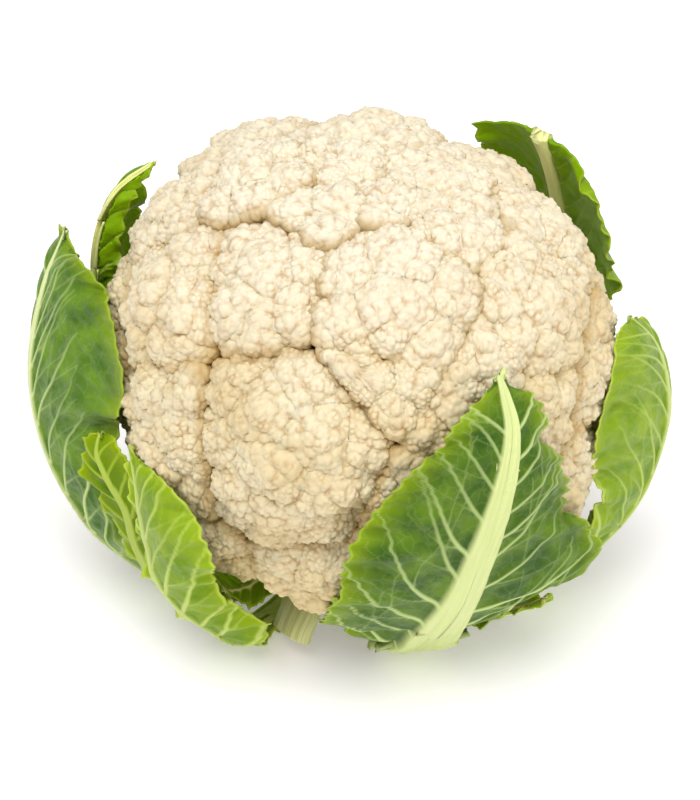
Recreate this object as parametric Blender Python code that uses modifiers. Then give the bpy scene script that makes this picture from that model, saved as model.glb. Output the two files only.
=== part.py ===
"""A whole cauliflower standing on its cut stalk: florets packed round the stalk's crown, and trimmed leaves.

The origin is the middle of the stalk's cut face, +Z is up through the crown, and -Y is the front.
Azimuths are in degrees round the stalk, 0 at the front and 90 at +X. Elevations are in degrees
above the horizontal, both seen from HEAD_CENTRE, the point that every floret branches from.
"""

import math

import bmesh
import bpy
import numpy as np
from mathutils import Matrix, Vector

# Driving dimensions, in metres
HEAD_RADIUS = 0.089
HEAD_RISE = 0.074
HEAD_DROP = 0.096
HEAD_SQUARENESS = 2.3
HEAD_CENTRE = Vector((0.0, 0.0, 0.108))
CROWN_RADIUS = 0.026
CROWN_STEPS = 7
STALK_SIDES = 24
NECK_RADIUS = 0.0175
NECK_HEIGHT = 0.068
SHOULDER_RADIUS = 0.0223
SHOULDER_HEIGHT = 0.030
BASE_RADIUS = 0.023
CUT_CHAMFER = 0.002
PIECE_GAP = 0.0006
BUD_ALLOWANCE = 0.0008
FLORET_SPREAD = 1.6
INNER_OVERRUN = 0.6
UNDERSIDE_SPREAD = 46.0

BLADE_THICKNESS = 0.0013
RIB_THICKNESS = 0.0085
RIB_HALF_WIDTH = 0.0075
LEAF_CLEARANCE = 0.0012
CLEARANCE_EASING = 0.003
UNDERSIDE_MARGIN = 8.0
BULGE_WIDTH = 0.03
RIB_TAPER = 0.72
LEAF_ROWS = 17
LEAF_COLUMNS = 11
FLORET_SEGMENTS = 14
FLORET_RINGS = 9

# Colours are linear RGB
CURD_COLOUR = (0.84, 0.73, 0.52, 1.0)
STALK_COLOUR = (0.66, 0.74, 0.40, 1.0)
LEAF_COLOUR = (0.10, 0.26, 0.04, 1.0)
YOUNG_LEAF_COLOUR = (0.26, 0.45, 0.07, 1.0)

# Each floret: azimuth, elevation and half-angle of the cap that it fills, and millimetres it stands proud
FLORETS = {
    "front": (-18, 8, 29.5, 2),
    "front_left": (-51, 5, 23, 0),
    "front_middle": (4, 30, 18, 0),
    "front_low": (4, -1, 19, 0),
    "front_knob": (19, 19, 15, 0),
    "centre": (12, 48, 24, 3),
    "upper_left": (-37, 47, 22, 0),
    "left": (-65, 28, 23, 1),
    "right_knob": (34, 30, 16, 0),
    "right": (58, 32, 23, 1),
    "right_middle": (49, 11, 18, 0),
    "right_low": (74, 3, 21, 0),
    "top_left": (-30, 68, 16, 1),
    "top_knob": (22, 73, 13, 0),
    "top_right": (55, 58, 18, 0),
    "crown": (-150, 78, 17, 1),
    "crown_right": (108, 68, 18, 0),
    "crown_left": (-98, 61, 19, 4),
    "crown_rear": (170, 58, 20, 1),
    "side_upper_right": (90, 36, 21, 0),
    "side_upper_left": (-102, 37, 21, 2),
    "side_left": (-88, 5, 23, 0),
    "side_right": (58, -17, 21, 0),
    "bottom": (-3, -33, 22, 0),
    "bottom_left": (-57, -36, 22, 0),
    "bottom_right": (24, -23, 20, 0),
    "rear_upper_right": (128, 36, 23, -3),
    "rear_upper_left": (-140, 32, 24, 4),
    "rear_upper": (172, 27, 22, 0),
    "rear_left": (-125, -2, 23, 0),
    "rear_right": (110, 2, 22, 0),
    "rear": (-168, -6, 25, 0),
    "rear_low_right": (145, -2, 22, 0),
    "under_left": (-94, -28, 22, 0),
    "under_right": (97, -29, 23, 0),
    "under_rear_left": (-140, -35, 22, 0),
    "under_rear_right": (152, -35, 23, 0),
}

# Each leaf: rows from the stalk to the tip, each with the left margin, the midrib and the right margin
# in millimetres, as seen from outside the head. The bulges are how far each half is blown outwards.
LEAVES = {
    "front_right": {
        "rows": [
            ((2, -26, 11), (9, -24, 10), (16, -20, 11)),
            ((8, -40, 7), (15, -38, 5), (22, -35, 7)),
            ((9, -47, 9), (18, -46.5, 8), (27, -45, 12)),
            ((2, -53, 18), (21, -53, 16), (38, -55, 25)),
            ((-13, -68, 38), (27, -70, 42), (62, -66, 52)),
            ((-8, -89, 69), (34, -80, 66), (80, -61, 58)),
            ((-6, -95, 88), (40, -86, 90), (82, -60, 72)),
            ((1, -95, 106), (44, -88, 107), (72, -66, 91)),
            ((14, -93, 124), (47, -86, 123), (66, -71, 108)),
            ((25, -89, 134), (48, -82, 136), (61, -73, 126)),
            ((36, -81, 145), (46, -78, 145), (56, -73, 141)),
            ((42, -76, 150), (44, -75, 152), (46, -74, 150)),
        ],
        "bulges": (4, 4),
        "young": False,
    },
    "front_left": {
        "rows": [
            ((-24, -13, 9), (-20, -17, 8), (-16, -21, 9)),
            ((-38, -26, 4), (-34, -30, 3), (-30, -35, 4)),
            ((-51, -43, 11), (-48, -46, 10), (-36, -51, 9)),
            ((-60, -54, 26), (-57, -57, 26), (-33, -58, 27)),
            ((-68, -59, 39), (-65, -62, 39), (-42, -64, 39)),
            ((-74, -61, 53), (-71, -64, 53), (-50, -76, 62)),
            ((-77, -59, 68), (-74, -62, 68), (-50, -84, 79)),
            ((-79, -57, 82), (-76, -60, 82), (-54, -80, 91)),
            ((-80, -54, 92), (-77, -57, 92), (-62, -70, 98)),
            ((-80, -49, 101), (-79, -51, 102), (-76, -55, 103)),
        ],
        "bulges": (1, 5),
        "young": True,
    },
    "left": {
        "rows": [
            ((-24, 4, 9), (-25, -3, 8), (-24, -10, 9)),
            ((-50, 0, 4), (-50, -9, 2), (-49, -18, 4)),
            ((-76, 0, 19), (-76, -15, 18), (-73, -28, 22)),
            ((-95, 8, 36), (-95, -18, 37), (-80, -39, 44)),
            ((-106, 18, 54), (-107, -14, 52), (-82, -40, 64)),
            ((-110, 27, 74), (-114, -9, 66), (-84, -40, 82)),
            ((-111, 34, 92), (-118, -3, 80), (-85, -39, 100)),
            ((-110, 36, 108), (-119, 2, 95), (-79, -40, 120)),
            ((-109, 36, 122), (-117, 8, 108), (-83, -26, 133)),
            ((-108, 34, 134), (-113, 14, 122), (-89, -11, 140)),
            ((-107, 30, 139), (-109, 19, 132), (-98, 5, 141)),
            ((-106, 24, 142), (-105, 22, 142), (-103, 19, 141)),
        ],
        "bulges": (4, 5),
        "young": False,
    },
    "left_small": {
        "rows": [
            ((-24, -8, 24), (-22, -12, 24), (-20, -15, 24)),
            ((-45, -21, 18), (-42, -25, 17), (-39, -29, 18)),
            ((-63, -33, 21), (-60, -37, 20), (-57, -41, 21)),
            ((-76, -40, 34), (-72, -44, 34), (-68, -48, 34)),
            ((-85, -44, 55), (-79, -49, 54), (-76, -51, 56)),
            ((-92, -45, 76), (-82, -51, 74), (-80, -52, 78)),
            ((-97, -43, 88), (-87, -50, 86), (-81, -51, 92)),
            ((-97, -41, 97), (-91, -47, 96), (-83, -49, 102)),
            ((-93, -42, 102), (-90, -44, 103), (-86, -46, 104)),
        ],
        "bulges": (2, 1),
        "young": True,
    },
    "right": {
        "rows": [
            ((24, -10, 9), (25, -3, 8), (24, 4, 9)),
            ((48, -20, 4), (50, -12, 2), (51, -4, 4)),
            ((67, -34, 24), (74, -21, 20), (78, -6, 20)),
            ((74, -39, 40), (87, -22, 36), (92, 2, 36)),
            ((80, -40, 56), (97, -18, 45), (100, 12, 52)),
            ((84, -41, 72), (104, -14, 55), (104, 20, 68)),
            ((81, -42, 84), (109, -8, 67), (106, 26, 84)),
            ((79, -42, 98), (111, -5, 80), (106, 28, 84)),
            ((82, -36, 109), (110, -2, 92), (105, 26, 90)),
            ((85, -29, 119), (107, -2, 104), (102, 20, 101)),
            ((87, -22, 127), (102, -4, 115), (99, 10, 112)),
            ((90, -15, 129), (94, -8, 126), (96, 1, 119)),
        ],
        "bulges": (4, 4),
        "young": True,
    },
    "back_right": {
        "rows": [
            ((24, 12, 9), (18, 18, 8), (12, 24, 9)),
            ((44, 32, 4), (38, 38, 2), (32, 44, 4)),
            ((67, 46, 19), (58, 58, 17), (46, 67, 19)),
            ((84, 52, 42), (71, 71, 38), (52, 84, 42)),
            ((92, 52, 70), (77, 77, 66), (54, 92, 70)),
            ((95, 48, 96), (78, 78, 94), (52, 95, 98)),
            ((92, 38, 120), (75, 74, 120), (48, 90, 126)),
            ((88, 40, 134), (70, 68, 142), (44, 82, 144)),
            ((80, 50, 148), (65, 63, 157), (42, 77, 152)),
        ],
        "bulges": (4, 4),
        "young": False,
    },
    "back_left": {
        "rows": [
            ((-17, 20, 9), (-21, 14, 8), (-25, 8, 9)),
            ((-41, 37, 4), (-46, 30, 2), (-50, 23, 4)),
            ((-60, 55, 20), (-70, 42, 18), (-75, 28, 20)),
            ((-72, 66, 42), (-86, 48, 38), (-88, 30, 44)),
            ((-76, 74, 70), (-94, 48, 64), (-92, 26, 70)),
            ((-79, 74, 98), (-97, 44, 92), (-92, 25, 96)),
            ((-82, 66, 122), (-98, 36, 116), (-88, 32, 118)),
            ((-80, 62, 138), (-95, 37, 134), (-86, 38, 132)),
            ((-78, 58, 146), (-88, 43, 146), (-82, 44, 142)),
            ((-74, 56, 151), (-75, 52, 152), (-75, 50, 150)),
        ],
        "bulges": (4, 2),
        "young": False,
    },
    "back": {
        "rows": [
            ((5, 25, 9), (-3, 25, 8), (-11, 23, 9)),
            ((3, 50, 4), (-6, 50, 2), (-15, 49, 4)),
            ((6, 76, 19), (-9, 76, 17), (-25, 73, 19)),
            ((14, 94, 42), (-12, 97, 38), (-38, 88, 42)),
            ((20, 98, 70), (-14, 105, 64), (-46, 92, 70)),
            ((22, 98, 96), (-14, 107, 90), (-48, 92, 96)),
            ((16, 97, 116), (-13, 103, 112), (-40, 92, 116)),
            ((2, 95, 130), (-12, 96, 132), (-26, 92, 130)),
        ],
        "bulges": (4, 4),
        "young": False,
    },
    "low_right": {
        "rows": [
            ((16, -20, 24), (19, -17, 24), (22, -14, 24)),
            ((30, -35, 18), (34, -31, 17), (38, -27, 18)),
            ((40, -48, 18), (47, -42, 18), (54, -36, 18)),
            ((50, -53, 24), (58, -48, 24), (66, -42, 24)),
            ((62, -55, 33), (66, -52, 33), (70, -48, 33)),
        ],
        "bulges": (1, 1),
        "young": False,
    },
    "inner_front": {
        "rows": [
            ((-21, -15, 35), (-19, -17, 35), (-17, -19, 35)),
            ((-37, -23, 30), (-33, -28, 26), (-27, -31, 25)),
            ((-48, -33, 32), (-43, -39, 26), (-36, -43, 23)),
            ((-53, -42, 36), (-49, -47, 32), (-43, -51, 29)),
        ],
        "bulges": (1, 1),
        "young": False,
    },
}

# A leaf that was cut off short: the middle of its rib in millimetres, and its half-widths on the way
STUB_PATH = [(-11, -27, 34), (-17, -34, 26), (-22, -40, 17), (-25.5, -44.5, 9)]
STUB_HALF_WIDTHS = (6.0, 8.0, 9.5, 10.0)
STUB_THICKNESS = 0.010
STUB_ROWS = 8
STUB_COLUMNS = 9


def clear_scene():
    for thing in list(bpy.data.objects):
        bpy.data.objects.remove(thing, do_unlink=True)


def make_material(name, colour, roughness):
    material = bpy.data.materials.new(name)
    material.use_nodes = True
    shader = material.node_tree.nodes["Principled BSDF"]
    shader.inputs["Base Color"].default_value = colour
    shader.inputs["Roughness"].default_value = roughness
    shader.inputs["Metallic"].default_value = 0.0
    return material


def add_object(name, mesh, material, collection):
    piece = bpy.data.objects.new(name, mesh)
    mesh.materials.append(material)
    collection.objects.link(piece)
    return piece


def direction(azimuth, elevation):
    azimuth, elevation = math.radians(azimuth), math.radians(elevation)
    level = math.cos(elevation)
    return Vector((math.sin(azimuth) * level, -math.cos(azimuth) * level, math.sin(elevation)))


def head_reach(way):
    """How far the rounded outer form of the head is from its centre in a direction, or in an array of them."""
    way = np.asarray(way)
    height = np.where(way[..., 2] > 0, HEAD_RISE, HEAD_DROP)
    across = np.hypot(way[..., 0], way[..., 1]) / HEAD_RADIUS
    upright = np.abs(way[..., 2]) / height
    return (across**HEAD_SQUARENESS + upright**HEAD_SQUARENESS) ** (-1 / HEAD_SQUARENESS)


def floret_cells():
    """Each floret's direction over the cosine of its half-angle, and the open cone under the head's own.

    Two caps meet on the plane through the centre whose normal is the difference of these vectors.
    """
    cells = {}
    for name, (azimuth, elevation, half_angle, _) in FLORETS.items():
        cells[name] = direction(azimuth, elevation) / math.cos(math.radians(half_angle))
    cells["underside"] = Vector((0, 0, -1)) / math.cos(math.radians(UNDERSIDE_SPREAD))
    return cells


def cut(solid, point, normal):
    """Cut a convex solid by a plane, drop what lies on the normal's side, and close the face."""
    everything = solid.verts[:] + solid.edges[:] + solid.faces[:]
    found = bmesh.ops.bisect_plane(solid, geom=everything, plane_co=point, plane_no=normal, clear_outer=True)
    rim = [edge for edge in found["geom_cut"] if isinstance(edge, bmesh.types.BMEdge)]
    if rim:
        bmesh.ops.contextual_create(solid, geom=rim)


def make_floret(name, cells, material, collection):
    """A flattened ball from the crown to the head's outer form, cut flat where its neighbours press on it."""
    azimuth, elevation, half_angle, proud = FLORETS[name]
    way = direction(azimuth, elevation)
    outer = head_reach(way) - BUD_ALLOWANCE + proud / 1000
    inner = CROWN_RADIUS + PIECE_GAP
    half_length = (outer - inner * INNER_OVERRUN) / 2
    half_width = FLORET_SPREAD * outer * math.tan(math.radians(half_angle))
    solid = bmesh.new()
    bmesh.ops.create_uvsphere(solid, u_segments=FLORET_SEGMENTS, v_segments=FLORET_RINGS, radius=1)
    place = Matrix.Translation(HEAD_CENTRE + way * (outer - half_length))
    turn = way.to_track_quat("Z", "Y").to_matrix().to_4x4()
    shape = Matrix.Diagonal((half_width, half_width, half_length, 1))
    bmesh.ops.transform(solid, matrix=place @ turn @ shape, verts=solid.verts)
    for vert in solid.verts:
        arm = vert.co - HEAD_CENTRE
        vert.co = HEAD_CENTRE + arm * (head_reach(arm.normalized()) / head_reach(way))
    for other, cell in cells.items():
        if other != name:
            normal = (cell - cells[name]).normalized()
            cut(solid, HEAD_CENTRE - normal * PIECE_GAP / 2, normal)
    cut(solid, HEAD_CENTRE + way * inner, -way)
    bmesh.ops.dissolve_limit(solid, angle_limit=math.radians(0.5), verts=solid.verts, edges=solid.edges)
    bmesh.ops.recalc_face_normals(solid, faces=solid.faces)
    mesh = bpy.data.meshes.new("floret_" + name)
    solid.to_mesh(mesh)
    solid.free()
    return add_object("floret_" + name, mesh, material, collection)


def make_stalk(material, collection):
    """The turned trunk: a flat cut foot, a waist above the leaf bases, and a round crown that branches."""
    base_profile = [
        (0.0, 0.0),
        (BASE_RADIUS - CUT_CHAMFER, 0.0),
        (BASE_RADIUS, CUT_CHAMFER),
        (SHOULDER_RADIUS, SHOULDER_HEIGHT),
        (NECK_RADIUS, NECK_HEIGHT),
    ]
    neck_angle = math.asin(NECK_RADIUS / CROWN_RADIUS)
    crown = [(0.0, HEAD_CENTRE.z + CROWN_RADIUS)]
    for step in range(1, CROWN_STEPS + 1):
        angle = (math.pi - neck_angle) * step / CROWN_STEPS
        crown.append((CROWN_RADIUS * math.sin(angle), HEAD_CENTRE.z + CROWN_RADIUS * math.cos(angle)))
    profile = crown + base_profile[::-1]
    mesh = bpy.data.meshes.new("stalk")
    edges = [(i, i + 1) for i in range(len(profile) - 1)]
    mesh.from_pydata([(radius, 0, height) for radius, height in profile], edges, [])
    stalk = add_object("stalk", mesh, material, collection)
    screw = stalk.modifiers.new("turn", "SCREW")
    screw.steps = screw.render_steps = STALK_SIDES
    screw.use_merge_vertices = True
    screw.merge_threshold = 0.0001
    screw.use_smooth_shade = True
    return stalk


def smooth_path(points, shares):
    """Catmull-Rom curve through the points, read at shares of its way, and its unit tangents."""
    points = np.array(points, float)
    padded = np.vstack([2 * points[0] - points[1], points, 2 * points[-1] - points[-2]])
    place = np.clip(shares, 0, 1) * (len(points) - 1)
    leg = np.minimum(place.astype(int), len(points) - 2)
    u = (place - leg)[:, None]
    a, b, c, d = (padded[leg + k] for k in range(4))
    path = 0.5 * (2 * b + (c - a) * u + (2 * a - 5 * b + 4 * c - d) * u**2 + (3 * b - a - 3 * c + d) * u**3)
    slope = 0.5 * ((c - a) + 2 * (2 * a - 5 * b + 4 * c - d) * u + 3 * (3 * b - a - 3 * c + d) * u**2)
    return path, slope / np.linalg.norm(slope, axis=1, keepdims=True)


def spine_frames(spine, shares):
    """Points along a leaf's spine with the tangent, the outward normal and the sideways vector of each."""
    path, along = smooth_path(spine, shares)
    outward = path - np.array(HEAD_CENTRE)
    outward -= np.sum(outward * along, axis=1, keepdims=True) * along
    outward /= np.linalg.norm(outward, axis=1, keepdims=True)
    return path, along, outward, np.cross(along, outward)


def keep_clear_of_head(points, clearance):
    """Push points away from the head to clearance above its outer form, wherever florets fill it."""
    centre = np.array(HEAD_CENTRE)
    arm = points - centre
    distance = np.linalg.norm(arm, axis=-1, keepdims=True)
    way = arm / distance
    from_below = np.degrees(np.arccos(-way[..., 2:]))
    filled = np.clip((from_below - UNDERSIDE_SPREAD) / UNDERSIDE_MARGIN + 1, 0, 1)
    least = (head_reach(way)[..., None] + clearance) * filled
    excess = distance - least
    eased = 0.5 * (excess + np.sqrt(excess**2 + CLEARANCE_EASING**2))
    return centre + way * np.where(filled > 0, least + eased, distance)


def leaf_surface(leaf):
    """The leaf's outer face: rows of points along its midrib, columns across it from left to right."""
    share = np.linspace(0, 1, LEAF_ROWS)
    rows = np.array(leaf["rows"], float) / 1000
    left, right = (smooth_path(rows[:, side], share)[0] for side in (0, 2))
    path, along, outward, _ = spine_frames(rows[:, 1], share)
    across = np.linspace(-1, 1, LEAF_COLUMNS)
    margin = np.where(across[None, :, None] > 0, right[:, None], left[:, None])
    spread = np.abs(across)[None, :, None]
    width = np.linalg.norm(margin - path[:, None], axis=2)
    bulge = np.where(across > 0, leaf["bulges"][1], leaf["bulges"][0]) / 1000
    blown = bulge * np.minimum(width / BULGE_WIDTH, 1) * 4 * spread[..., 0] * (1 - spread[..., 0])
    points = path[:, None] + (margin - path[:, None]) * spread + blown[..., None] * outward[:, None]
    fleshy = np.exp(-((width * spread[..., 0] / RIB_HALF_WIDTH) ** 2)) * (1 - RIB_TAPER * share[:, None])
    thickness = BLADE_THICKNESS + (RIB_THICKNESS - BLADE_THICKNESS) * fleshy
    return keep_clear_of_head(points, thickness[..., None] + LEAF_CLEARANCE), thickness


def sheet_mesh(name, points):
    """A quad sheet through a grid of points, its faces looking outwards."""
    rows, columns = points.shape[:2]
    index = np.arange(rows * columns).reshape(rows, columns)
    corners = (index[:-1, :-1], index[:-1, 1:], index[1:, 1:], index[1:, :-1])
    faces = np.stack([corner.ravel() for corner in corners], axis=1)
    mesh = bpy.data.meshes.new(name)
    mesh.from_pydata(points.reshape(-1, 3).tolist(), [], faces.tolist())
    return mesh


def thicken(piece, thickness, side):
    """Solidify a sheet by its own thickness at each point: side -1 adds inside it, 0 on both sides."""
    most = float(thickness.max())
    group = piece.vertex_groups.new(name="thickness")
    for point, value in enumerate((thickness / most).ravel().tolist()):
        group.add([point], value, "REPLACE")
    shell = piece.modifiers.new("thickness", "SOLIDIFY")
    shell.thickness = most
    shell.offset = side
    shell.vertex_group = group.name
    shell.thickness_vertex_group = 0.0
    shell.use_even_offset = False


def make_leaf(name, leaf, material, collection):
    points, thickness = leaf_surface(leaf)
    piece = add_object("leaf_" + name, sheet_mesh("leaf_" + name, points), material, collection)
    thicken(piece, thickness, -1)
    return piece


def make_stub(material, collection):
    """A thick oval rib, cut off square."""
    share = np.linspace(0, 1, STUB_ROWS)
    path, _, _, side = spine_frames(np.array(STUB_PATH) / 1000, share)
    across = np.linspace(-1, 1, STUB_COLUMNS)
    stations = np.linspace(0, 1, len(STUB_HALF_WIDTHS))
    half_width = np.interp(share, stations, STUB_HALF_WIDTHS)[:, None, None] / 1000
    points = path[:, None] + across[None, :, None] * half_width * side[:, None]
    thickness = STUB_THICKNESS * np.sqrt(1 - 0.9 * across**2)[None, :] * np.ones((STUB_ROWS, 1))
    piece = add_object("leaf_stub", sheet_mesh("leaf_stub", points), material, collection)
    thicken(piece, thickness, 0)
    return piece


def build():
    clear_scene()
    cauliflower = bpy.data.collections.new("cauliflower")
    bpy.context.scene.collection.children.link(cauliflower)
    curd = make_material("curd", CURD_COLOUR, 0.6)
    flesh = make_material("stalk", STALK_COLOUR, 0.45)
    green = make_material("leaf", LEAF_COLOUR, 0.4)
    young = make_material("young_leaf", YOUNG_LEAF_COLOUR, 0.4)
    make_stalk(flesh, cauliflower)
    cells = floret_cells()
    for name in FLORETS:
        make_floret(name, cells, curd, cauliflower)
    for name, leaf in LEAVES.items():
        make_leaf(name, leaf, young if leaf["young"] else green, cauliflower)
    make_stub(flesh, cauliflower)


build()
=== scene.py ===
import math

import bpy
import numpy as np
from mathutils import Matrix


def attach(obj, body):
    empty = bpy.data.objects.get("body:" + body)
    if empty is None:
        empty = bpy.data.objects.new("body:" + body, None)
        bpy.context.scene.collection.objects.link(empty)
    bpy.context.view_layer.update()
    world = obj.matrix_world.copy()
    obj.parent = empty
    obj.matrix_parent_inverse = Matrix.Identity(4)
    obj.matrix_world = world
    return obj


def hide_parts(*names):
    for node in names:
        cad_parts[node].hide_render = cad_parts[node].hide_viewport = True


# A whole cauliflower on its cut stalk, in metres and degrees.
# Azimuth 0 is the front (-Y) and 90 is +X; elevations are seen from the middle of the head.
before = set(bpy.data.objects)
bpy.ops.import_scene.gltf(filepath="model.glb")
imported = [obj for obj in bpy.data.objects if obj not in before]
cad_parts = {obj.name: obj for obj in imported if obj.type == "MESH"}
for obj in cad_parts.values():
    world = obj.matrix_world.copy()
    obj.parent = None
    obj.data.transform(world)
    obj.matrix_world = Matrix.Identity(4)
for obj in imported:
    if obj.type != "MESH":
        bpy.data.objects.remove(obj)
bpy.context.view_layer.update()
print("frame loaded:", len(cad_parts), "nodes")

head = {
    "centre": np.array((0.0, 0.0, 0.108)),
    "radius": 0.089,
    "rise": 0.074,
    "drop": 0.096,
    "squareness": 2.3,
    "openBelow": 46.0,  # half-angle of the open cone under the florets
    "crown": 0.026,  # radius of the ball on the stalk that they branch from
}

# azimuth, elevation, half-angle of the cap that each floret fills, millimetres it stands proud
florets = {
    "front": (-18, 8, 29.5, 2),
    "front_left": (-51, 5, 23, 2),
    "front_middle": (4, 30, 18, 0),
    "front_low": (4, -1, 19, 0),
    "front_knob": (19, 19, 15, 0),
    "centre": (12, 48, 24, 3),
    "upper_left": (-37, 47, 22, 0),
    "left": (-65, 28, 23, 2),
    "right_knob": (34, 30, 16, 0),
    "right": (58, 32, 23, 1),
    "right_middle": (49, 11, 18, 0),
    "right_low": (74, 3, 21, 2),
    "top_left": (-30, 68, 16, 1),
    "top_knob": (22, 73, 13, 0),
    "top_right": (55, 58, 18, 0),
    "crown": (-150, 78, 17, 1),
    "crown_right": (108, 68, 18, 0),
    "crown_left": (-98, 61, 19, 4),
    "crown_rear": (170, 58, 20, 1),
    "side_upper_right": (90, 36, 21, 0),
    "side_upper_left": (-102, 37, 21, 2),
    "side_left": (-88, 5, 23, 3.5),
    "side_right": (58, -17, 21, 4),
    "bottom": (-3, -33, 22, 0),
    "bottom_left": (-57, -36, 22, 0),
    "bottom_right": (24, -23, 20, 0),
    "rear_upper_right": (128, 36, 23, -3),
    "rear_upper_left": (-140, 32, 24, 4),
    "rear_upper": (172, 27, 22, 0),
    "rear_left": (-125, -2, 23, 0),
    "rear_right": (110, 2, 22, 0),
    "rear": (-168, -6, 25, 0),
    "rear_low_right": (145, -2, 22, 0),
    "under_left": (-94, -28, 22, 0),
    "under_right": (97, -29, 23, 0),
    "under_rear_left": (-140, -35, 22, 0),
    "under_rear_right": (152, -35, 23, 0),
}


# Small geometry helpers, all on whole arrays


def unit(vectors):
    return vectors / np.linalg.norm(vectors, axis=-1, keepdims=True)


def direction(azimuth, elevation):
    azimuth, elevation = math.radians(azimuth), math.radians(elevation)
    level = math.cos(elevation)
    return np.array((math.sin(azimuth) * level, -math.cos(azimuth) * level, math.sin(elevation)))


def evenTurns(count):
    # count angles once around, the first at 0
    return np.linspace(0, 2 * math.pi, count + 1)[:-1]


def smoothStep(low, high, value):
    # 0 below low, 1 above high, and 3x^2 - 2x^3 between
    x = np.clip((value - low) / (high - low), 0, 1)
    return x * x * (3 - 2 * x)


def headReach(way):
    # a superellipse of revolution: (across / radius)^n + (height / rise or drop)^n = 1
    height = np.where(way[..., 2] > 0, head["rise"], head["drop"])
    across = np.hypot(way[..., 0], way[..., 1]) / head["radius"]
    upright = np.abs(way[..., 2]) / height
    n = head["squareness"]
    return (across**n + upright**n) ** (-1 / n)


def smoothPath(points, shares):
    # Catmull-Rom curve through the points, read at shares of its way, with its unit tangents
    points = np.asarray(points, float)
    padded = np.vstack([2 * points[0] - points[1], points, 2 * points[-1] - points[-2]])
    place = np.clip(shares, 0, 1) * (len(points) - 1)
    leg = np.minimum(place.astype(int), len(points) - 2)
    u = (place - leg)[:, None]
    a, b, c, d = (padded[leg + k] for k in range(4))
    square, cube = 2 * a - 5 * b + 4 * c - d, 3 * b - a - 3 * c + d
    path = 0.5 * (2 * b + (c - a) * u + square * u**2 + cube * u**3)
    slope = 0.5 * ((c - a) + 2 * square * u + 3 * cube * u**2)
    return path, unit(slope)


def outwardOf(path, along):
    # away from the head's middle and square to the path
    outward = path - head["centre"]
    return unit(outward - (outward * along).sum(1, keepdims=True) * along)


def gridNormals(points):
    # cross product of the central differences along the grid's columns and rows
    down, along = np.gradient(points, axis=(0, 1))
    return unit(np.cross(along, down) + 1e-12)


def normalsTowards(points, outward):
    # the grid's normals, each turned to the side that outward points to
    normals = gridNormals(points)
    return normals * np.sign((normals * outward[:, None]).sum(-1, keepdims=True))


def gridQuads(rows, columns):
    index = np.arange(rows * columns).reshape(rows, columns)
    corners = (index[:-1, :-1], index[:-1, 1:], index[1:, 1:], index[1:, :-1])
    return np.stack([corner.ravel() for corner in corners], axis=1)


def nearestTwo(points, centres):
    # squared distances from |p|^2 - 2 p.c + |c|^2, then the smallest and second smallest of each row
    points, centres = points.astype(np.float32), centres.astype(np.float32)
    middle = centres.mean(axis=0)
    points, centres = (points - middle) * 1000, (centres - middle) * 1000
    square = (points**2).sum(1)[:, None] - 2 * points @ centres.T + (centres**2).sum(1)[None]
    row = np.arange(len(points))
    nearest = square.argmin(axis=1)
    first = np.sqrt(np.maximum(square[row, nearest], 0)) / 1000
    square[row, nearest] = np.inf
    second = np.sqrt(np.maximum(square.min(axis=1), 0)) / 1000 if len(centres) > 1 else first + 1
    return nearest, first, second


def scatterCentres(points, apart, random, start):
    # farthest-point picking: each new centre is the point farthest from those already picked,
    # weighed by a random factor, until none is as far as apart
    weight = random.uniform(0.82, 1.18, len(points))
    picked = [start]
    far = np.linalg.norm(points - points[start], axis=1)
    while True:
        choice = int(np.argmax(far * weight))
        if far[choice] < apart:
            return points[picked]
        picked.append(choice)
        far = np.minimum(far, np.linalg.norm(points - points[choice], axis=1))


def makePiece(name, points, polygons, material, attributes):
    # polygons is a list of index arrays, one row a face; each array has its own number of corners
    mesh = bpy.data.meshes.new(name)
    mesh.vertices.add(len(points))
    mesh.vertices.foreach_set("co", points.astype(np.float32).ravel())
    corners = np.concatenate([faces.ravel() for faces in polygons])
    sizes = np.concatenate([np.full(len(faces), faces.shape[1]) for faces in polygons])
    mesh.loops.add(len(corners))
    mesh.loops.foreach_set("vertex_index", corners.astype(np.int32))
    mesh.polygons.add(len(sizes))
    mesh.polygons.foreach_set("loop_start", (np.cumsum(sizes) - sizes).astype(np.int32))
    mesh.update(calc_edges=True)
    mesh.shade_smooth()
    for key, values in attributes.items():
        kind, field = ("FLOAT_VECTOR", "vector") if values.ndim == 2 else ("FLOAT", "value")
        attribute = mesh.attributes.new(key, kind, "POINT")
        attribute.data.foreach_set(field, values.astype(np.float32).ravel())
    mesh.materials.append(material)
    piece = bpy.data.objects.new(name, mesh)
    bpy.context.scene.collection.objects.link(piece)
    return piece


def standFor(piece, node):
    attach(piece, "root")
    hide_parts(node)


# Helpers for node materials


def newMaterial(name):
    material = bpy.data.materials.new(name)
    material.use_nodes = True
    nodes = material.node_tree.nodes
    return material, nodes, material.node_tree.links, nodes["Principled BSDF"]


def attributeOf(nodes, name):
    node = nodes.new("ShaderNodeAttribute")
    node.attribute_name = name
    return node


def mixColours(nodes, links, factor, first, second):
    # a colour mix; first and second are sockets or fixed colours
    mix = nodes.new("ShaderNodeMix")
    mix.data_type = "RGBA"
    links.new(factor, mix.inputs["Factor"])
    for key, value in (("A", first), ("B", second)):
        socket = [s for s in mix.inputs if s.name == key and s.type == "RGBA"][0]
        if isinstance(value, tuple):
            socket.default_value = (*value, 1.0)
        else:
            links.new(value, socket)
    return [s for s in mix.outputs if s.type == "RGBA"][0]


def rampOf(nodes, links, source, low, high, top=1.0):
    # maps low..high of the source to 0..top and clamps it
    ramp = nodes.new("ShaderNodeMapRange")
    ramp.inputs["From Min"].default_value = low
    ramp.inputs["From Max"].default_value = high
    ramp.inputs["To Max"].default_value = top
    links.new(source, ramp.inputs["Value"])
    return ramp.outputs["Result"]


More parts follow.
